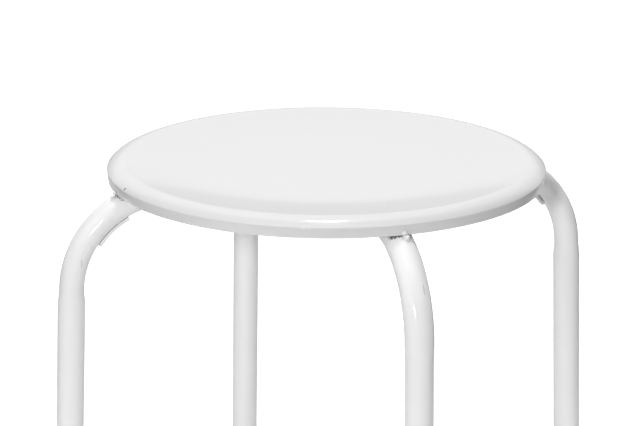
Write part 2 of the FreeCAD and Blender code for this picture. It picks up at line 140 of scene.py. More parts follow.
# Places that follow from the sizes
FLAT_HALF_HEIGHT = (TUBE_RADIUS - CROSSING_GAP / 2) / 2
RUN_Z = STOOL_HEIGHT - DISH_DEPTH - SHEET - PAN_GAP - TUBE_RADIUS
BEND_X = SEAT_RADIUS + LEG_OVERHANG - BEND_RADIUS
BEND_Z = RUN_Z - BEND_RADIUS
SKIRT_RADIUS = SEAT_RADIUS - SKIRT_DRAFT
SKIRT_Z = BEND_Z + RIM_GAP + math.sqrt(
    (BEND_RADIUS + BEND_HALF_HEIGHT) ** 2 - (SKIRT_RADIUS - SHEET - BEND_X) ** 2)
LEG_TOP_X = BEND_X + BEND_RADIUS * math.cos(LEG_SPLAY)
LEG_TOP_Z = BEND_Z + BEND_RADIUS * math.sin(LEG_SPLAY)
FOOT_X = LEG_TOP_X + LEG_TOP_Z * math.tan(LEG_SPLAY)

# The legs, by the angle from the X axis at which each stands, and the ones with a stacking pad
LEGS = {"right": 0, "back": 90, "left": 180, "front": 270}
PADDED_LEGS = ("right", "left")


# Node trees


def place(tree, kind, inputs=(), **settings):
    """Add one node, with its options and with values or other nodes' outputs on its inputs."""
    node = tree.nodes.new(kind)
    for name, value in settings.items():
        setattr(node, name, value)
    for key, value in dict(inputs).items():
        if isinstance(value, bpy.types.NodeSocket):
            tree.links.new(value, node.inputs[key])
        else:
            node.inputs[key].default_value = value
    return node


def sums(tree, operation, *values):
    """The result of a Math node."""
    return place(tree, "ShaderNodeMath", enumerate(values), operation=operation).outputs[0]


def vectors(tree, operation, *values):
    """The result of a Vector Math node, given vectors."""
    return place(tree, "ShaderNodeVectorMath", enumerate(values), operation=operation).outputs[0]


def lengthened(tree, vector, amount):
    """A vector times a number."""
    node = place(tree, "ShaderNodeVectorMath", {0: vector, "Scale": amount}, operation="SCALE")
    return node.outputs[0]


def along(tree, vector, direction):
    """How far a vector reaches along a direction."""
    node = place(tree, "ShaderNodeVectorMath", {0: vector, 1: direction}, operation="DOT_PRODUCT")
    return node.outputs["Value"]


def ramp(tree, value, start, end, low=0.0, high=1.0):
    """A value that goes smoothly from low to high while another goes from start to end."""
    inputs = {"Value": value, "From Min": start, "From Max": end, "To Min": low, "To Max": high}
    return place(tree, "ShaderNodeMapRange", inputs, interpolation_type="SMOOTHSTEP").outputs["Result"]


def blend(tree, share, first, second):
    """A number that goes from first to second as share goes from 0 to 1."""
    return place(tree, "ShaderNodeMix", {0: share, 2: first, 3: second}).outputs[0]


def blend_tones(tree, share, first, second):
    """A colour that goes from first to second as share goes from 0 to 1."""
    return place(tree, "ShaderNodeMix", {0: share, 6: first, 7: second}, data_type="RGBA").outputs[2]


def new_shape_tree(name, sizes):
    """A geometry tree with one named input for each size, a material input, and its two end nodes."""
    tree = bpy.data.node_groups.new(name, "GeometryNodeTree")
    tree.interface.new_socket("Geometry", in_out="INPUT", socket_type="NodeSocketGeometry")
    for size in sizes:
        kind = "NodeSocketInt" if size in ("Segments", "Seed") else "NodeSocketFloat"
        tree.interface.new_socket(size, in_out="INPUT", socket_type=kind)
    tree.interface.new_socket("Material", in_out="INPUT", socket_type="NodeSocketMaterial")
    tree.interface.new_socket("Geometry", in_out="OUTPUT", socket_type="NodeSocketGeometry")
    return tree, tree.nodes.new("NodeGroupInput"), tree.nodes.new("NodeGroupOutput")


def end_shape_tree(tree, entry, exit_node, geometry):
    """Realize, shade smooth and paint what a geometry tree made, and put it out."""
    realized = place(tree, "GeometryNodeRealizeInstances", {"Geometry": geometry})
    smooth = place(tree, "GeometryNodeSetShadeSmooth", {"Geometry": realized.outputs[0]})
    painted = place(tree, "GeometryNodeSetMaterial",
                    {"Geometry": smooth.outputs[0], "Material": entry.outputs["Material"]})
    tree.links.new(painted.outputs[0], exit_node.inputs[0])


def grow(name, seed_object, tree, material, **sizes):
    """Run a geometry tree on an object and return the result as a plain mesh object of that name."""
    modifier = seed_object.modifiers.new("shape", "NODES")
    modifier.node_group = tree
    identifiers = {item.name: item.identifier for item in tree.interface.items_tree
                   if item.item_type == "SOCKET" and item.in_out == "INPUT"}
    for key, value in sizes.items():
        modifier[identifiers[key.replace("_", " ").title()]] = value
    modifier[identifiers["Material"]] = material
    depsgraph = bpy.context.evaluated_depsgraph_get()
    mesh = bpy.data.meshes.new_from_object(seed_object.evaluated_get(depsgraph))
    bpy.data.objects.remove(seed_object)
    return new_piece(name, mesh)


def new_piece(name, mesh):
    """An object of the scene at the origin, its faces pointing outwards."""
    work = bmesh.new()
    work.from_mesh(mesh)
    bmesh.ops.remove_doubles(work, verts=work.verts, dist=MERGE_DISTANCE)
    bmesh.ops.recalc_face_normals(work, faces=work.faces)
    work.to_mesh(mesh)
    work.free()
    mesh.name = name
    piece = bpy.data.objects.new(name, mesh)
    bpy.context.scene.collection.objects.link(piece)
    return piece


def new_line(name, points):
    """A curve of straight stretches through points."""
    curve = bpy.data.curves.new(name, "CURVE")
    curve.dimensions = "3D"
    spline = curve.splines.new("POLY")
    spline.points.add(len(points) - 1)
    for held, point in zip(spline.points, points):
        held.co = (*point, 1)
    line = bpy.data.objects.new(name, curve)
    bpy.context.scene.collection.objects.link(line)
    return line


def moved(piece, matrix):
    """Put a piece in its place by moving its mesh, so that its object stays at the origin."""
    piece.data.transform(matrix)
    return piece


def join(name, pieces):
    """Make several mesh objects into one."""
    work = bmesh.new()
    for piece in pieces:
        work.from_mesh(piece.data)
    mesh = bpy.data.meshes.new(name)
    work.to_mesh(mesh)
    work.free()
    mesh.materials.append(pieces[0].data.materials[0])
    for piece in pieces:
        bpy.data.objects.remove(piece)
    whole = bpy.data.objects.new(name, mesh)
    bpy.context.scene.collection.objects.link(whole)
    return whole


# Shapes that follow a rule


def turned_tree():
    """A section drawn in the XZ plane, turned once round the Z axis."""
    tree, entry, exit_node = new_shape_tree("turned", ["Segments"])
    section = place(tree, "GeometryNodeCaptureAttribute", {"Geometry": entry.outputs["Geometry"]},
                    domain="POINT")
    section.capture_items.new("VECTOR", "Section Point")
    tree.links.new(place(tree, "GeometryNodeInputPosition").outputs[0], section.inputs["Section Point"])
    ring = place(tree, "GeometryNodeCurvePrimitiveCircle",
                 {"Resolution": entry.outputs["Segments"], "Radius": 1.0})
    around = place(tree, "GeometryNodeCaptureAttribute", {"Geometry": ring.outputs["Curve"]}, domain="POINT")
    around.capture_items.new("VECTOR", "Ring Point")
    tree.links.new(place(tree, "GeometryNodeInputPosition").outputs[0], around.inputs["Ring Point"])
    swept = place(tree, "GeometryNodeCurveToMesh",
                  {"Curve": around.outputs["Geometry"], "Profile Curve": section.outputs["Geometry"]})
    place_in_section = place(tree, "ShaderNodeSeparateXYZ", {0: section.outputs["Section Point"]})
    outward = lengthened(tree, around.outputs["Ring Point"], place_in_section.outputs["X"])
    upward = place(tree, "ShaderNodeCombineXYZ", {"Z": place_in_section.outputs["Z"]}).outputs[0]
    turned = place(tree, "GeometryNodeSetPosition",
                   {"Geometry": swept.outputs["Mesh"], "Position": vectors(tree, "ADD", outward, upward)})
    closed = place(tree, "GeometryNodeMergeByDistance",
                   {"Geometry": turned.outputs[0], "Distance": MERGE_DISTANCE})
    end_shape_tree(tree, entry, exit_node, closed.outputs[0])
    return tree


def bent_tube_tree():
    """A tube along a U given with sharp corners: bent, oval in its bends and squeezed flat in its middle."""
    tree, entry, exit_node = new_shape_tree("bent_tube", [
        "Bend Radius", "Tube Radius", "Oval Half Width", "Oval Half Height", "Oval Start", "Oval End",
        "Leg Oval Start", "Leg Oval End", "Flat Half Width", "Flat Half Height", "Flat Start", "Flat End",
        "Flat Side", "Ring Step"])
    size = entry.outputs
    bent = place(tree, "GeometryNodeFilletCurve",
                 {"Curve": size["Geometry"], "Radius": size["Bend Radius"], "Count": 60}, mode="POLY")
    rings = place(tree, "GeometryNodeResampleCurve",
                  {"Curve": bent.outputs[0], "Length": size["Ring Step"]}, mode="LENGTH")
    middle = place(tree, "GeometryNodeCaptureAttribute", {"Geometry": rings.outputs[0]}, domain="POINT")
    middle.capture_items.new("VECTOR", "Middle")
    middle.capture_items.new("VECTOR", "Along")
    tree.links.new(place(tree, "GeometryNodeInputPosition").outputs[0], middle.inputs["Middle"])
    tree.links.new(place(tree, "GeometryNodeInputTangent").outputs[0], middle.inputs["Along"])
    circle = place(tree, "GeometryNodeCurvePrimitiveCircle", {"Resolution": 72, "Radius": 1.0})
    ring = place(tree, "GeometryNodeCaptureAttribute", {"Geometry": circle.outputs["Curve"]}, domain="POINT")
    ring.capture_items.new("VECTOR", "Ring Point")
    tree.links.new(place(tree, "GeometryNodeInputPosition").outputs[0], ring.inputs["Ring Point"])
    skin = place(tree, "GeometryNodeCurveToMesh",
                 {"Curve": middle.outputs["Geometry"], "Profile Curve": ring.outputs["Geometry"],
                  "Fill Caps": True})

    spot = place(tree, "ShaderNodeSeparateXYZ", {0: middle.outputs["Middle"]})
    from_middle = sums(tree, "ABSOLUTE", spot.outputs["X"])
    in_bend = sums(tree, "MULTIPLY", ramp(tree, from_middle, size["Oval Start"], size["Oval End"]),
                   ramp(tree, spot.outputs["Z"], size["Leg Oval Start"], size["Leg Oval End"]))
    in_flat = ramp(tree, from_middle, size["Flat End"], size["Flat Start"])

    def section_size(oval, flat):
        """Half of the section's width or height: the tube's radius, led to the oval's or the flat's."""
        wider = sums(tree, "SUBTRACT", oval, size["Tube Radius"])
        ovalled = sums(tree, "MULTIPLY_ADD", in_bend, wider, size["Tube Radius"])
        flatter = sums(tree, "SUBTRACT", flat, size["Tube Radius"])
        return sums(tree, "MULTIPLY_ADD", in_flat, flatter, ovalled)

    half_width = section_size(size["Oval Half Width"], size["Flat Half Width"])
    half_height = section_size(size["Oval Half Height"], size["Flat Half Height"])
    lift = sums(tree, "MULTIPLY", size["Flat Side"], sums(tree, "SUBTRACT", size["Tube Radius"], half_height))
    raised = sums(tree, "MULTIPLY", lift, in_flat)
    across = place(tree, "ShaderNodeCombineXYZ", {"Y": 1.0}).outputs[0]
    up = vectors(tree, "CROSS_PRODUCT", middle.outputs["Along"], across)
    ring_point = place(tree, "ShaderNodeSeparateXYZ", {0: ring.outputs["Ring Point"]})
    sideways = lengthened(tree, across, sums(tree, "MULTIPLY", ring_point.outputs["X"], half_width))
    upward = lengthened(tree, up, sums(tree, "MULTIPLY_ADD", ring_point.outputs["Y"], half_height, raised))
    where = vectors(tree, "ADD", middle.outputs["Middle"], vectors(tree, "ADD", sideways, upward))
    shaped = place(tree, "GeometryNodeSetPosition", {"Geometry": skin.outputs["Mesh"], "Position": where})
    end_shape_tree(tree, entry, exit_node, shaped.outputs[0])
    return tree


def weld_bead_tree():
    """Lobes of weld metal run together, their skin rippled as it froze."""
    tree, entry, exit_node = new_shape_tree("weld_bead", ["Grain", "Ripple", "Ripple Size", "Seed"])
    size = entry.outputs
    metal = place(tree, "GeometryNodeMeshToVolume",
                  {"Mesh": size["Geometry"], "Voxel Size": size["Grain"], "Interior Band Width": 1 * MM},
                  resolution_mode="VOXEL_SIZE")
    skin = place(tree, "GeometryNodeVolumeToMesh", {"Volume": metal.outputs[0], "Threshold": 0.1},
                 resolution_mode="GRID")
    spot = place(tree, "GeometryNodeInputPosition").outputs[0]
    waves = place(tree, "ShaderNodeTexNoise",
                  {"Vector": spot, "W": size["Seed"], "Scale": sums(tree, "DIVIDE", 1.0, size["Ripple Size"]),
                   "Detail": 2.0}, noise_dimensions="4D")
    height = sums(tree, "MULTIPLY", sums(tree, "SUBTRACT", waves.outputs["Fac"], 0.5), size["Ripple"])
    outward = place(tree, "GeometryNodeInputNormal").outputs[0]
    rippled = place(tree, "GeometryNodeSetPosition",
                    {"Geometry": skin.outputs[0], "Offset": lengthened(tree, outward, height)})
    end_shape_tree(tree, entry, exit_node, rippled.outputs[0])
    return tree


# Paint and plastic

# The coating's clouds and specks
CLOUD_SCALE = 18.0
TONE_CHANGE = 0.02
GLOSS_CHANGE = 0.04
SPECK_TONE = (0.45, 0.44, 0.42, 1)
SPECK_SPACING = 70 * MM
SPECK_FREE_SHARE = 0.6
NO_SPECKS = 0.001 * MM
REFRACTION = 1.5

# The noise that makes a mark's edge ragged, and how many reaches from its place it is full and at its end
RAGGED_SCALE = 900.0
RAGGED_SHARE = 0.9
MARK_FULL = 1.1
MARK_END = 1.5


def new_effect(name, inputs, outputs):
    """A shader node group with named inputs and outputs, and its two end nodes."""
    group = bpy.data.node_groups.new(name, "ShaderNodeTree")
    for label, kind in inputs:
        group.interface.new_socket(label, in_out="INPUT", socket_type="NodeSocket" + kind)
    for label, kind in outputs:
        group.interface.new_socket(label, in_out="OUTPUT", socket_type="NodeSocket" + kind)
    return group, group.nodes.new("NodeGroupInput"), group.nodes.new("NodeGroupOutput")


def coating_effect():
    """The look of a sprayed or moulded skin: faint clouds in tone and gloss, a fine wave and a few specks."""
    group, entry, exit_node = new_effect(
        "coating",
        [("Tone", "Color"), ("Speck Tone", "Color"), ("Tone Change", "Float"), ("Wave Size", "Float"),
         ("Gloss Roughness", "Float"), ("Roughness Change", "Float"), ("Speck Spacing", "Float"),
         ("Speck Size", "Float")],
        [("Color", "Color"), ("Roughness", "Float"), ("Height", "Float")])
    given = entry.outputs
    spot = place(group, "ShaderNodeTexCoord").outputs["Object"]
    clouds = place(group, "ShaderNodeTexNoise", {"Vector": spot, "Scale": CLOUD_SCALE, "Detail": 3.0})
    cloud = sums(group, "SUBTRACT", clouds.outputs["Fac"], 0.5)
    wave = place(group, "ShaderNodeTexNoise",
                 {"Vector": spot, "Scale": sums(group, "DIVIDE", 1.0, given["Wave Size"]), "Detail": 1.5})
    cells = place(group, "ShaderNodeTexVoronoi",
                  {"Vector": spot, "Scale": sums(group, "DIVIDE", 1.0, given["Speck Spacing"])})
    reach = sums(group, "MULTIPLY", cells.outputs["Distance"], given["Speck Spacing"])
    drawn = place(group, "ShaderNodeSeparateColor", {"Color": cells.outputs["Color"]})
    chosen = sums(group, "GREATER_THAN", drawn.outputs["Red"], SPECK_FREE_SHARE)
    speck = sums(group, "MULTIPLY", chosen, ramp(group, reach, given["Speck Size"], 0.0))
    level = sums(group, "MULTIPLY_ADD", cloud, given["Tone Change"], 1.0)
    toned = lengthened(group, given["Tone"], level)
    colour = blend_tones(group, speck, toned, given["Speck Tone"])
    rough = sums(group, "MULTIPLY_ADD", cloud, given["Roughness Change"], given["Gloss Roughness"])
    group.links.new(colour, exit_node.inputs["Color"])
    group.links.new(rough, exit_node.inputs["Roughness"])
    group.links.new(wave.outputs["Fac"], exit_node.inputs["Height"])
    return group


def mark_effect():
    """One chip, scuff, pit or patch of painted shade: a ragged spot about a place, with a reach of its own
    along each axis.
    """
    group, entry, exit_node = new_effect(
        "mark", [("Color", "Color"), ("Mark Tone", "Color"), ("Place", "Vector"), ("Reach", "Vector"),
                 ("Strength", "Float")],
        [("Color", "Color"), ("Mask", "Float")])
    given = entry.outputs
    spot = place(group, "ShaderNodeTexCoord").outputs["Object"]
    away = vectors(group, "DIVIDE", vectors(group, "SUBTRACT", spot, given["Place"]), given["Reach"])
    distance = place(group, "ShaderNodeVectorMath", {0: away}, operation="LENGTH").outputs["Value"]
    ragged = place(group, "ShaderNodeTexNoise", {"Vector": spot, "Scale": RAGGED_SCALE, "Detail": 2.0})
    edge = sums(group, "MULTIPLY_ADD", ragged.outputs["Fac"], RAGGED_SHARE, distance)
    mask = sums(group, "MULTIPLY", ramp(group, edge, MARK_END, MARK_FULL), given["Strength"])
    colour = blend_tones(group, mask, given["Color"], given["Mark Tone"])
    group.links.new(colour, exit_node.inputs["Color"])
    group.links.new(mask, exit_node.inputs["Mask"])
    return group


COATING = coating_effect()
MARK = mark_effect()


def new_finish(name, tone, roughness, wave_size, wave_height, speck_size=NO_SPECKS, marks=()):
    """A material in one of the stool's finishes, with its own marks."""
    material = bpy.data.materials.new(name)
    material.use_nodes = True
    tree = material.node_tree
    shader = tree.nodes["Principled BSDF"]
    shader.inputs["IOR"].default_value = REFRACTION
    skin = place(tree, "ShaderNodeGroup", node_tree=COATING)
    given = {"Tone": (*tone, 1), "Speck Tone": SPECK_TONE, "Tone Change": TONE_CHANGE,
             "Wave Size": wave_size, "Gloss Roughness": roughness, "Roughness Change": GLOSS_CHANGE,
             "Speck Spacing": SPECK_SPACING, "Speck Size": speck_size}
    for key, value in given.items():
        skin.inputs[key].default_value = value
    colour = skin.outputs["Color"]
    height = skin.outputs["Height"]
    for spot, reach, shade, strength in marks:
        mark = place(tree, "ShaderNodeGroup", node_tree=MARK)
        mark.inputs["Mark Tone"].default_value = (*shade, 1)
        mark.inputs["Place"].default_value = [length * MM for length in spot]
        mark.inputs["Reach"].default_value = [length * MM for length in reach]
        mark.inputs["Strength"].default_value = strength
        tree.links.new(colour, mark.inputs["Color"])
        colour = mark.outputs["Color"]
        height = sums(tree, "SUBTRACT", height, mark.outputs["Mask"])
    bump = place(tree, "ShaderNodeBump", {"Height": height, "Distance": wave_height})
    tree.links.new(colour, shader.inputs["Base Color"])
    tree.links.new(skin.outputs["Roughness"], shader.inputs["Roughness"])
    tree.links.new(bump.outputs["Normal"], shader.inputs["Normal"])
    return material


# Each mark's place and reach in mm, its tone and its strength. On the seat: a chip, a speck and four nibs
NIB_REACH = (1.0, 1.0, 1.0)
NIB_TONE = (0.5, 0.5, 0.5)
SEAT_MARKS = [((-152.8, -18.8, 445.7), (1.3, 1.0, 1.0), (0.10, 0.10, 0.10), 0.95),
              ((97.6, -103.7, 450.0), (0.9, 0.9, 0.9), (0.35, 0.35, 0.33), 0.45),
              ((9.4, -26.0, 446.0), NIB_REACH, NIB_TONE, 0.2),
              ((16.6, -34.3, 446.1), NIB_REACH, NIB_TONE, 0.2),
              ((124.4, -27.5, 448.7), NIB_REACH, NIB_TONE, 0.2),
              ((-110.4, 58.5, 448.5), NIB_REACH, NIB_TONE, 0.2)]
# Scuffs on the front and left bends; the patches of painted shade under the skirt are added below
SCUFF_TONE = (0.45, 0.45, 0.44)
FRAME_SCUFFS_AND_SHADE = [((3.7, -184.1, 408.1), (0.7, 4.0, 5.2), SCUFF_TONE, 0.42),
               ((-182.0, -10.0, 392.3), (0.7, 1.6, 4.2), SCUFF_TONE, 0.35)]
# Painted shade: near-black patches on the tubes' tops in the gap under the skirt, where the seat shades them
PAINTED_SHADE_OUT = 149.5
PAINTED_SHADE_HEIGHT = 436.5
PAINTED_SHADE_TONE = (0.05, 0.05, 0.05)
for x, y in ((1, 0), (0, 1), (-1, 0), (0, -1)):
    reach = (5.4, 10.5, 4.8) if x else (10.5, 5.4, 4.8)
    FRAME_SCUFFS_AND_SHADE.append(((x * PAINTED_SHADE_OUT, y * PAINTED_SHADE_OUT, PAINTED_SHADE_HEIGHT), reach, PAINTED_SHADE_TONE, 0.95))
# Painted shade: two near-black dents in the front bead, where it meets the gap under the skirt
PAINTED_PIT_SHADE_TONE = (0.12, 0.12, 0.12)
WELD_PAINTED_SHADE = [((-0.9, -156.8, 437.9), (0.55, 1.5, 0.6), PAINTED_PIT_SHADE_TONE, 0.85),
              ((1.05, -156.9, 438.0), (0.6, 1.5, 0.55), PAINTED_PIT_SHADE_TONE, 0.75)]
# Painted shade: the seat's tone is set darker than the frame's, standing in for shade on its skirt that the
# lamps don't give it
SEAT_PAINT = new_finish("seat_paint", (0.75, 0.75, 0.75), roughness=0.09, wave_size=2.5 * MM,
                        wave_height=0.002 * MM, speck_size=0.4 * MM, marks=SEAT_MARKS)
FRAME_PAINT = new_finish("frame_paint", (0.93, 0.93, 0.93), roughness=0.12, wave_size=2.5 * MM,
                         wave_height=0.004 * MM, speck_size=0.4 * MM, marks=FRAME_SCUFFS_AND_SHADE)
WELD_PAINT = new_finish("weld_paint", (0.83, 0.83, 0.83), roughness=0.22, wave_size=0.8 * MM,
                        wave_height=0.05 * MM, marks=WELD_PAINTED_SHADE)
PAD_PLASTIC = new_finish("pad_plastic", (0.92, 0.92, 0.91), roughness=0.35, wave_size=0.5 * MM,
                         wave_height=0.01 * MM)
FOOT_PLASTIC = new_finish("foot_plastic", (0.72, 0.72, 0.71), roughness=0.45, wave_size=0.5 * MM,
                          wave_height=0.01 * MM)


# The stool's pieces


def arc(middle_x, middle_z, radius, start, end, count):
    """Points along an arc in the XZ plane, angles in radians from the X axis."""
    angles = [start + (end - start) * step / count for step in range(count + 1)]
    return [(middle_x + radius * math.cos(a), middle_z + radius * math.sin(a)) for a in angles]


def rounded(before, corner, after, radius, count=6):
    """The arc that rounds a corner between the directions of two neighbours."""
    corner = Vector(corner)
    back = (Vector(before) - corner).normalized()
    on = (Vector(after) - corner).normalized()
    half = back.angle(on) / 2
    middle = corner + (back + on).normalized() * (radius / math.sin(half))
    start = corner + back * (radius / math.tan(half)) - middle
    turn = start.angle_signed(corner + on * (radius / math.tan(half)) - middle)
    points = []
    for step in range(count + 1):
        spoke = start.copy()
        spoke.rotate(Matrix.Rotation(-turn * step / count, 2))
        points.append(tuple(middle + spoke))
    return points


def pan_section():
    """The pan's section, from the axis over the dish, crest and skirt, and back along the underside."""
    dish_z = STOOL_HEIGHT - DISH_DEPTH + DISH_RADIUS
    dish_angle = math.asin(DISH_REACH / DISH_RADIUS)
    toward = Vector((-math.sin(dish_angle), math.cos(dish_angle)))
    dish_end = Vector((0, dish_z)) - toward * DISH_RADIUS
    crease_rise = CREST_RADIUS - CREASE_DEPTH
    crest_span = math.sqrt(CREST_RADIUS ** 2 - crease_rise ** 2)
    crest = Vector((SEAT_RADIUS - crest_span, STOOL_HEIGHT - CREST_RADIUS))
    between = dish_end - crest
    slope_radius = (between.dot(between) - CREST_RADIUS ** 2) / (2 * (CREST_RADIUS - toward.dot(between)))
    slope = dish_end + toward * slope_radius
    toward_slope = slope - crest
    crest_start = math.atan2(toward_slope.y, toward_slope.x)
    crest_end = math.atan2(crease_rise, crest_span)

    def skin(inset):
        """The dish, the slope and the crest, from the axis to the crease, set into the sheet by an inset."""
        side = [(0, dish_z - DISH_RADIUS - inset)]
        slope_start = dish_angle - math.pi / 2
        slope_end = crest_start - math.pi
        side += arc(0, dish_z, DISH_RADIUS + inset, -math.pi / 2, slope_start, DISH_STEPS)[1:]
        side += arc(slope.x, slope.y, slope_radius + inset, slope_start, slope_end, SLOPE_STEPS)[1:]
        side += arc(crest.x, crest.y, CREST_RADIUS - inset, crest_start, crest_end, CREST_STEPS)[1:]
        return side

    top = skin(0)
    under = skin(SHEET)
    foot = (SKIRT_RADIUS, SKIRT_Z)
    inner_foot = (SKIRT_RADIUS - SHEET, SKIRT_Z)
    section = top[:-2] + rounded(top[-3], top[-1], foot, CREASE_ROUND)
    section += rounded(top[-1], foot, inner_foot, SKIRT_ROUND)
    section += rounded(foot, inner_foot, under[-1], SKIRT_ROUND)
    return section + under[::-1]


def make_seat_pan(turned):
    """The pressed seat."""
    line = new_line("pan_section", [(r, 0, z) for r, z in pan_section()])
    return grow("seat_pan_pressed", line, turned, SEAT_PAINT, segments=320)


def make_frame(name, bent_tube, side, turn):
    """One U of tube: side is 1 where its flat lies at the top of the tube, -1 where it lies at the bottom."""
    corner_x = FOOT_X - RUN_Z * math.tan(LEG_SPLAY)
    end_x = FOOT_X - FOOT_FLOOR * math.tan(LEG_SPLAY)
    line = new_line(name + "_path", [(-end_x, 0, FOOT_FLOOR), (-corner_x, 0, RUN_Z), (corner_x, 0, RUN_Z),
                                     (end_x, 0, FOOT_FLOOR)])
    tube = grow(name, line, bent_tube, FRAME_PAINT, bend_radius=BEND_RADIUS, tube_radius=TUBE_RADIUS,
                oval_half_width=BEND_HALF_WIDTH, oval_half_height=BEND_HALF_HEIGHT,
                oval_start=BEND_X - BEND_BLEND, oval_end=BEND_X, leg_oval_start=LEG_TOP_Z - BEND_BLEND,
                leg_oval_end=LEG_TOP_Z, flat_half_width=FLAT_HALF_WIDTH, flat_half_height=FLAT_HALF_HEIGHT,
                flat_start=FLAT_HALF_LENGTH, flat_end=FLAT_HALF_LENGTH + FLAT_BLEND, flat_side=float(side),
                ring_step=RING_STEP)
    return moved(tube, Matrix.Rotation(math.radians(turn), 4, "Z"))


def bent_block(name, width, inner, outer, angle, sweep, edge_round, hollow):
    """A rounded block bent along a bend's inner side. Hollow is 1 to fit it to the tube's oval, or else 0."""
    middle_radius = (inner + outer) / 2
    length = sweep * middle_radius
    size = Vector((length, width, outer - inner))
    work = bmesh.new()
    bmesh.ops.create_cube(work, size=1, matrix=Matrix.Diagonal((*size, 1)))
    bmesh.ops.bevel(work, geom=work.edges[:], offset=edge_round, segments=4, profile=0.5, affect="EDGES")
    for axis, steps in ((0, SLICES_ALONG), (1, SLICES_ACROSS)):
        for step in range(1, steps):
            cut = Vector()
            cut[axis] = (step / steps - 0.5) * (size[axis] - 2 * edge_round)
            normal = [item == axis for item in range(3)]
            everything = work.verts[:] + work.edges[:] + work.faces[:]
            bmesh.ops.bisect_plane(work, geom=everything, plane_co=cut, plane_no=normal)
    for vertex in work.verts:
        turn = math.pi / 2 - angle + vertex.co.x / middle_radius
        drop = BEND_HALF_HEIGHT * (1 - math.sqrt(1 - (vertex.co.y / BEND_HALF_WIDTH) ** 2))
        height = vertex.co.z / size.z + 0.5
        radius = middle_radius + vertex.co.z + hollow * drop * height
        vertex.co = (BEND_X + radius * math.sin(turn), vertex.co.y, BEND_Z + radius * math.cos(turn))
    mesh = bpy.data.meshes.new(name)
    work.to_mesh(mesh)
    work.free()
    for face in mesh.polygons:
        face.use_smooth = True
    mesh.materials.append(PAD_PLASTIC)
    return new_piece(name, mesh)


def make_pad(turned):
    """The pad of the leg on +X: a strip, a cross rib next to the tube, and a peg that snaps into it."""
    strip = bent_block("pad_strip", PAD_WIDTH, PAD_TOP - PAD_THICKNESS, PAD_TOP, PAD_ANGLE, PAD_SWEEP,
                       PAD_ROUND, 0)
    rib_root = PAD_TOP - PAD_THICKNESS / 2
    rib = bent_block("pad_rib", RIB_WIDTH, rib_root, RIB_TOP, PEG_ANGLE, RIB_SWEEP, RIB_ROUND, 1)
    outline = [(0, rib_root), (PEG_RADIUS, rib_root), (PEG_RADIUS, BARB_START), (BARB_RADIUS, BARB_START),
               (BARB_RADIUS, BARB_END), (PEG_TIP_RADIUS, PEG_TIP), (0, PEG_TIP)]
    line = new_line("peg_section", [(r, 0, z) for r, z in outline])
    peg = grow("pad_peg", line, turned, PAD_PLASTIC, segments=48)
    lean = Matrix.Rotation(math.pi / 2 - PEG_ANGLE, 4, "Y")
    moved(peg, Matrix.Translation((BEND_X, 0, BEND_Z)) @ lean)
    return join("pad", [strip, rib, peg])


def make_foot(turned):
    """A push-on foot in the XZ plane's leg, its sole level with the floor."""
    bore = TUBE_RADIUS + FOOT_GAP
    outside = bore + FOOT_WALL
    sole = outside + FOOT_FLARE
    outline = [(0, 0)] + rounded((0, 0), (sole, 0), (sole, FOOT_HEIGHT), FOOT_SOLE_ROUND, 10)
    outline.append((sole, FOOT_FLOOR))
    outline += rounded((sole, FOOT_FLOOR), (outside, FOOT_HEIGHT), (bore, FOOT_HEIGHT), FOOT_LIP_ROUND)
    outline += [(bore + FOOT_MOUTH, FOOT_HEIGHT), (bore, FOOT_HEIGHT - FOOT_MOUTH), (bore, FOOT_FLOOR),
                (0, FOOT_FLOOR)]
    line = new_line("foot_section", [(r, 0, z) for r, z in outline])
    foot = grow("foot", line, turned, FOOT_PLASTIC, segments=128)
    for vertex in foot.data.vertices:
        vertex.co.x += FOOT_X - vertex.co.z * math.tan(LEG_SPLAY)
    return foot


def add_lobe(work, middle, reach, lean=0.0):
    """One egg-shaped lobe of weld metal."""
    matrix = Matrix.Translation(middle) @ Matrix.Rotation(lean, 4, "Y") @ Matrix.Diagonal((*reach, 1))
    bmesh.ops.create_icosphere(work, subdivisions=4, radius=1, matrix=matrix)


def bead_object(name, work):
    """The joined lobes as an object for the weld tree."""
    mesh = bpy.data.meshes.new(name)
    work.to_mesh(mesh)
    work.free()
    blob = bpy.data.objects.new(name, mesh)
    bpy.context.scene.collection.objects.link(blob)
    return blob


def make_rim_weld(weld_bead, on_tube, on_skirt, size, seed):
    """The tack weld at the leg on +X: a lobe on the tube, one up the skirt, and the metal that joins them."""
    bend_outside = BEND_RADIUS + BEND_HALF_HEIGHT
    slope = math.asin((SEAT_RADIUS - BEND_X) / bend_outside) + math.atan(TUBE_LOBE_AHEAD / bend_outside)
    out = bend_outside + TUBE_LOBE_OUT
    work = bmesh.new()
    add_lobe(work, (BEND_X + out * math.sin(slope), on_tube[0] * MM, BEND_Z + out * math.cos(slope)),
             (TUBE_LOBE_LENGTH * size, on_tube[1] * MM, TUBE_LOBE_HEIGHT * size), slope)
    add_lobe(work, (SEAT_RADIUS + SKIRT_LOBE_OUT, on_skirt[0] * MM, SKIRT_Z + SKIRT_LOBE_UP),
             (SKIRT_LOBE_DEPTH * size, on_skirt[1] * MM, SKIRT_LOBE_HEIGHT * size))
    between = (on_tube[0] + on_skirt[0]) / 2 * MM
    add_lobe(work, (SEAT_RADIUS + JOINT_LOBE_OUT, between, SKIRT_Z - JOINT_LOBE_DOWN),
             [share * size for share in JOINT_LOBE_REACH])
    bead = bead_object("rim_weld_lobes", work)
    return grow("rim_weld", bead, weld_bead, WELD_PAINT, grain=WELD_GRAIN, ripple=RIM_RIPPLE,
                ripple_size=RIM_RIPPLE_SIZE, seed=seed)


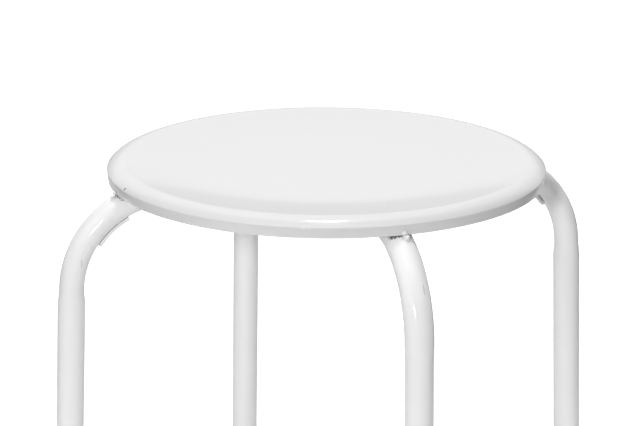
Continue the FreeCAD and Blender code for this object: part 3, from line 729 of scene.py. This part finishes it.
def make_crossing_welds(weld_bead):
    """The four beads in the corners where the tubes cross."""
    corner = CROSSING_PLACE_SHARE * FLAT_HALF_WIDTH
    to_tube = TUBE_RADIUS - FLAT_HALF_HEIGHT * (1 + math.sqrt(1 - CROSSING_PLACE_SHARE ** 2))
    radius = to_tube + CROSSING_PROUD
    work = bmesh.new()
    for ahead, beside in ((1, 1), (-1, 1), (-1, -1), (1, -1)):
        add_lobe(work, (ahead * corner, beside * corner, RUN_Z), (radius, radius, radius))
    bead = bead_object("crossing_lobes", work)
    return grow("crossing_welds_run", bead, weld_bead, WELD_PAINT, grain=WELD_GRAIN, ripple=CROSSING_RIPPLE,
                ripple_size=CROSSING_RIPPLE_SIZE, seed=3)


def copy_to_leg(piece, name, turn):
    """A copy of a piece, turned about the stool's own axis to another leg."""
    mesh = piece.data.copy()
    mesh.name = name
    copy = bpy.data.objects.new(name, mesh)
    bpy.context.scene.collection.objects.link(copy)
    return moved(copy, Matrix.Rotation(math.radians(turn), 4, "Z"))


def settle(piece, node):
    """Fix a finished piece to the stool in place of its solid."""
    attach(piece, "root")
    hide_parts(node)


turned = turned_tree()
bent_tube = bent_tube_tree()
weld_bead = weld_bead_tree()

settle(make_seat_pan(turned), "seat_pan")
settle(make_frame("upper_frame_bent", bent_tube, 1, 0), "upper_frame")
settle(make_frame("lower_frame_bent", bent_tube, -1, 90), "lower_frame")
settle(make_crossing_welds(weld_bead), "crossing_welds")
foot = make_foot(turned)
for number, (leg, turn) in enumerate(LEGS.items()):
    bead = make_rim_weld(weld_bead, *RIM_LOBES[leg], number)
    settle(copy_to_leg(bead, "rim_bead_" + leg, turn), "rim_weld_" + leg)
    settle(copy_to_leg(foot, "foot_cap_" + leg, turn), "foot_" + leg)
    bpy.data.objects.remove(bead)
pad = make_pad(turned)
for leg in PADDED_LEGS:
    settle(copy_to_leg(pad, "bumper_" + leg, LEGS[leg]), "stacking_pad_" + leg)
bpy.data.objects.remove(pad)
bpy.data.objects.remove(foot)


# Room, lights and camera

# Angles are in degrees. Azimuth 0 is on the side of the front leg, and 90 on that of the right leg
CAMERA_AZIMUTH = -19.291
CAMERA_DISTANCE = 1.99495
CAMERA_HEIGHT = 0.99744
CAMERA_LENS = 164.57
CAMERA_DOWN = 16.4225
CAMERA_ASIDE = 0.1259
CAMERA_ROLL = 0.2818
BACKDROP_DIRECTION = (-math.sin(math.radians(CAMERA_AZIMUTH)), math.cos(math.radians(CAMERA_AZIMUTH)), 0)
BESIDE_DIRECTION = (BACKDROP_DIRECTION[1], -BACKDROP_DIRECTION[0], 0)

# The floor is dark, with a glossy white paper on it that runs back under the stool
FLOOR_HALF_WIDTH = 12
FLOOR_DROP = 0.3 * MM
FLOOR_TONE = (0.05, 0.05, 0.05, 1)
PAPER_TONE = (0.9, 0.9, 0.9, 1)
PAPER_ROUGHNESS = 0.12
PAPER_HALF_WIDTH = 0.85
PAPER_FRONT = -0.78
PAPER_EDGE = 0.02

# The camera sees all of it as pale, with a glow that rises to white between two distances from the stool
SHOWN_TONE = (0.6, 0.6, 0.6, 1)
NEAR_GLOW = 0.56
GLOW_START = 0.35
GLOW_END = 0.62

# The room's levels of light, and the elevations between which they change
LOW_LEVEL = 0.66
WALL_LEVEL = 0.03
BACKDROP_LEVEL = 1.05
CANOPY_LEVEL = 1.35
CEILING_LEVEL = 1.15
BESIDE_LEVEL = 0.05
LOW_EDGE = (11.2, 11.8)
CANOPY_EDGE = (48, 58)
CEILING_EDGE = (53, 57)
CANOPY_TOP = (70, 76)

# The angles to the side of the backdrop's middle between which it ends and the ceiling over the camera starts
BACKDROP_EDGE = (50, 30)
OVER_CAMERA_EDGE = (95, 125)

# Each lamp's azimuth from the camera's, elevation, distance, width, height and power
SOFTBOXES = {"key_softbox": (-9.5, 17.5, 2.4, 0.2, 0.2, 23),
             "overhead_softbox": (180, 79, 1.5, 0.16, 0.16, 9.0),
             "left_softbox": (-55, 28, 2.0, 2.0, 1.2, 7.4),
             "right_softbox": (55, 28, 2.0, 2.0, 1.2, 4.0)}


def seen_directly(tree):
    """1 for rays from the camera and rays through glass, and 0 for all others."""
    path = place(tree, "ShaderNodeLightPath")
    return sums(tree, "MAXIMUM", path.outputs["Is Camera Ray"], path.outputs["Is Transmission Ray"])


def floor_material():
    """The floor with its paper, as the stool mirrors it, and as the camera sees it."""
    material = bpy.data.materials.new("floor_paper")
    material.use_nodes = True
    tree = material.node_tree
    tree.nodes.clear()
    spot = place(tree, "ShaderNodeTexCoord").outputs["Object"]
    from_side = sums(tree, "ABSOLUTE", along(tree, spot, BESIDE_DIRECTION))
    back = along(tree, spot, BACKDROP_DIRECTION)
    on_paper = sums(tree, "MULTIPLY", ramp(tree, from_side, PAPER_HALF_WIDTH + PAPER_EDGE, PAPER_HALF_WIDTH),
                    ramp(tree, back, PAPER_FRONT - PAPER_EDGE, PAPER_FRONT))
    tone = blend_tones(tree, on_paper, FLOOR_TONE, PAPER_TONE)
    ground = place(tree, "ShaderNodeBsdfPrincipled", {"Base Color": tone, "Roughness": PAPER_ROUGHNESS})
    pale = place(tree, "ShaderNodeBsdfDiffuse", {"Color": SHOWN_TONE})
    from_middle = place(tree, "ShaderNodeVectorMath", {0: spot}, operation="LENGTH").outputs["Value"]
    whiteness = ramp(tree, from_middle, GLOW_START, GLOW_END, NEAR_GLOW, 1.0)
    glow = place(tree, "ShaderNodeEmission", {"Color": (1, 1, 1, 1), "Strength": whiteness})
    lifted = place(tree, "ShaderNodeAddShader", {0: pale.outputs[0], 1: glow.outputs[0]})
    seen = seen_directly(tree)
    shown = place(tree, "ShaderNodeMixShader", {0: seen, 1: ground.outputs[0], 2: lifted.outputs[0]})
    place(tree, "ShaderNodeOutputMaterial", {"Surface": shown.outputs[0]})
    return material


def make_floor():
    """The floor that the stool stands on."""
    work = bmesh.new()
    bmesh.ops.create_grid(work, x_segments=2, y_segments=2, size=FLOOR_HALF_WIDTH)
    mesh = bpy.data.meshes.new("floor")
    work.to_mesh(mesh)
    work.free()
    mesh.materials.append(floor_material())
    floor = bpy.data.objects.new("floor", mesh)
    floor.location.z = -FLOOR_DROP
    bpy.context.scene.collection.objects.link(floor)


def light_the_world():
    """A surround that is white to the camera. The stool is lit by it as by a room, pale low down, with dark
    walls, a lit backdrop, a canopy over that and a panel over the camera."""
    world = bpy.data.worlds.new("studio")
    bpy.context.scene.world = world
    world.use_nodes = True
    tree = world.node_tree
    tree.nodes.clear()
    direction = place(tree, "ShaderNodeTexCoord").outputs["Generated"]
    height = place(tree, "ShaderNodeSeparateXYZ", {0: direction}).outputs["Z"]
    level_direction = vectors(tree, "NORMALIZE", vectors(tree, "MULTIPLY", direction, (1, 1, 0)))
    behind = along(tree, level_direction, BACKDROP_DIRECTION)

    def rise(edge, below, above):
        """A level that changes between two elevations."""
        start, end = (math.sin(math.radians(angle)) for angle in edge)
        return blend(tree, ramp(tree, height, start, end), below, above)

    def turn_share(edge):
        """A share that changes between two angles from the backdrop."""
        start, end = (math.cos(math.radians(angle)) for angle in edge)
        return ramp(tree, behind, start, end)

    ceiling = blend(tree, turn_share(OVER_CAMERA_EDGE), BESIDE_LEVEL, CEILING_LEVEL)
    around = rise(CEILING_EDGE, WALL_LEVEL, ceiling)
    backdrop = rise(CANOPY_TOP, rise(CANOPY_EDGE, BACKDROP_LEVEL, CANOPY_LEVEL), CEILING_LEVEL)
    above = blend(tree, turn_share(BACKDROP_EDGE), around, backdrop)
    level = rise(LOW_EDGE, LOW_LEVEL, above)
    room = place(tree, "ShaderNodeBackground", {"Color": (1, 1, 1, 1), "Strength": level})
    white = place(tree, "ShaderNodeBackground", {"Color": (1, 1, 1, 1), "Strength": 1.0})
    seen = seen_directly(tree)
    shown = place(tree, "ShaderNodeMixShader", {0: seen, 1: room.outputs[0], 2: white.outputs[0]})
    place(tree, "ShaderNodeOutputWorld", {"Surface": shown.outputs[0]})


def add_softbox(name, azimuth, elevation, distance, width, height, power):
    """A lamp that looks at the seat and doesn't show in the picture."""
    lamp = bpy.data.lights.new(name, "AREA")
    lamp.shape = "RECTANGLE"
    lamp.size = width
    lamp.size_y = height
    lamp.energy = power
    held = bpy.data.objects.new(name, lamp)
    around, up = math.radians(CAMERA_AZIMUTH + azimuth), math.radians(elevation)
    back = Vector((math.sin(around) * math.cos(up), -math.cos(around) * math.cos(up), math.sin(up)))
    held.location = Vector((0, 0, STOOL_HEIGHT)) + back * distance
    held.rotation_mode = "QUATERNION"
    held.rotation_quaternion = back.to_track_quat("Z", "Y")
    held.visible_camera = False
    bpy.context.scene.collection.objects.link(held)


def add_camera():
    """The photograph's side and distance, turned down to frame the seat and the upper legs as it does."""
    lens = bpy.data.cameras.new("camera")
    lens.sensor_width = 36
    lens.lens = CAMERA_LENS
    lens.clip_end = 100
    camera = bpy.data.objects.new("camera", lens)
    around = math.radians(CAMERA_AZIMUTH)
    camera.location = (CAMERA_DISTANCE * math.sin(around), -CAMERA_DISTANCE * math.cos(around), CAMERA_HEIGHT)
    turn = Matrix.Rotation(around + math.radians(CAMERA_ASIDE), 3, "Z")
    turn = turn @ Matrix.Rotation(math.radians(90 - CAMERA_DOWN), 3, "X")
    camera.rotation_euler = (turn @ Matrix.Rotation(math.radians(CAMERA_ROLL), 3, "Z")).to_euler()
    bpy.context.scene.collection.objects.link(camera)
    bpy.context.scene.camera = camera


make_floor()
light_the_world()
for name, settings in SOFTBOXES.items():
    add_softbox(name, *settings)
add_camera()
bpy.context.scene.view_settings.view_transform = "Standard"
